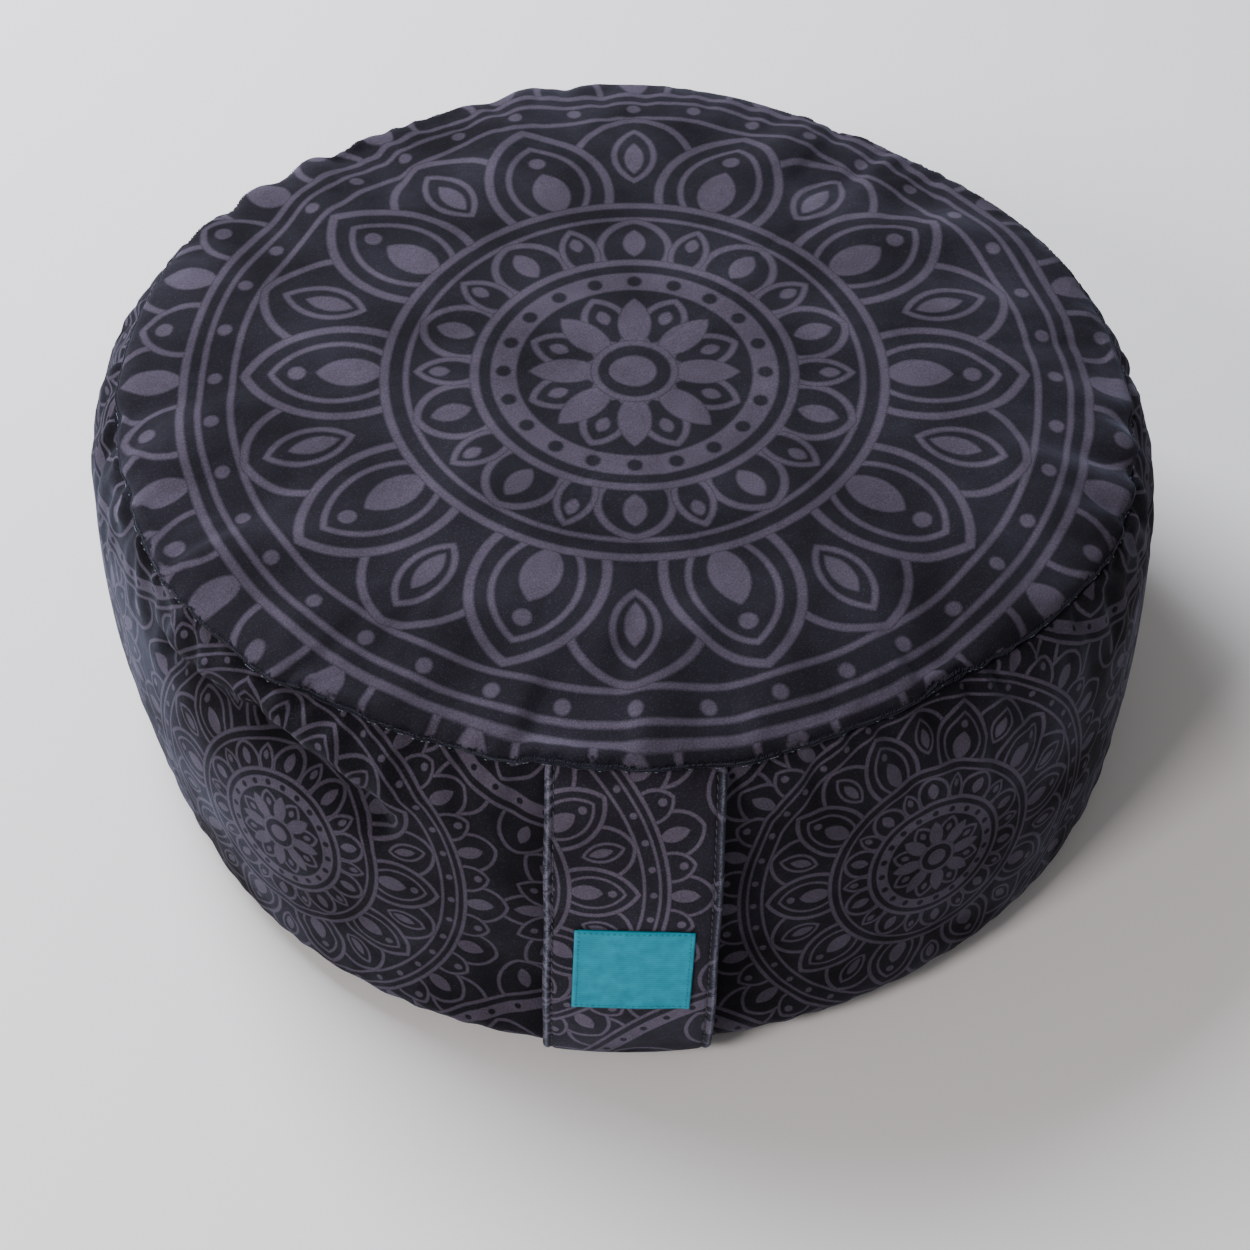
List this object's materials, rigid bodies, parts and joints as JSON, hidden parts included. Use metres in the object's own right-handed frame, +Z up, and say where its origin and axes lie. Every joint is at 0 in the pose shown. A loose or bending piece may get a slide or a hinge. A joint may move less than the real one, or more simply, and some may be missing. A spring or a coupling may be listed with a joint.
{
  "type": "zafu meditation cushion",
  "caption": "Round filled meditation cushion with a crowned top, a bulging side band, a carry strap at the front and a small sewn label; it rests on its flat base.",
  "frame": {"origin": "under the middle of the whole outline, on the flat underside", "axes": "+Z up, out of the crowned top; the carry strap is at the front, on -Y; +X is to the right seen from the strap's side"},
  "size_m": [0.4055, 0.4006, 0.1526],
  "materials": {
    "cover_cloth": "short-napped cotton, dark grey ground with a mauve-grey printed mandala, matt with a soft sheen at grazing angles",
    "strap_cloth": "the same printed cloth folded flat and edge-stitched, matt, with pale worn fold edges",
    "label_satin": "woven turquoise satin with running stitches round its edge, low gloss"
  },
  "bodies": {
    "root": {"cushion": "cover_cloth", "carry_strap": "strap_cloth", "label": "label_satin"}
  },
  "joints": []
}
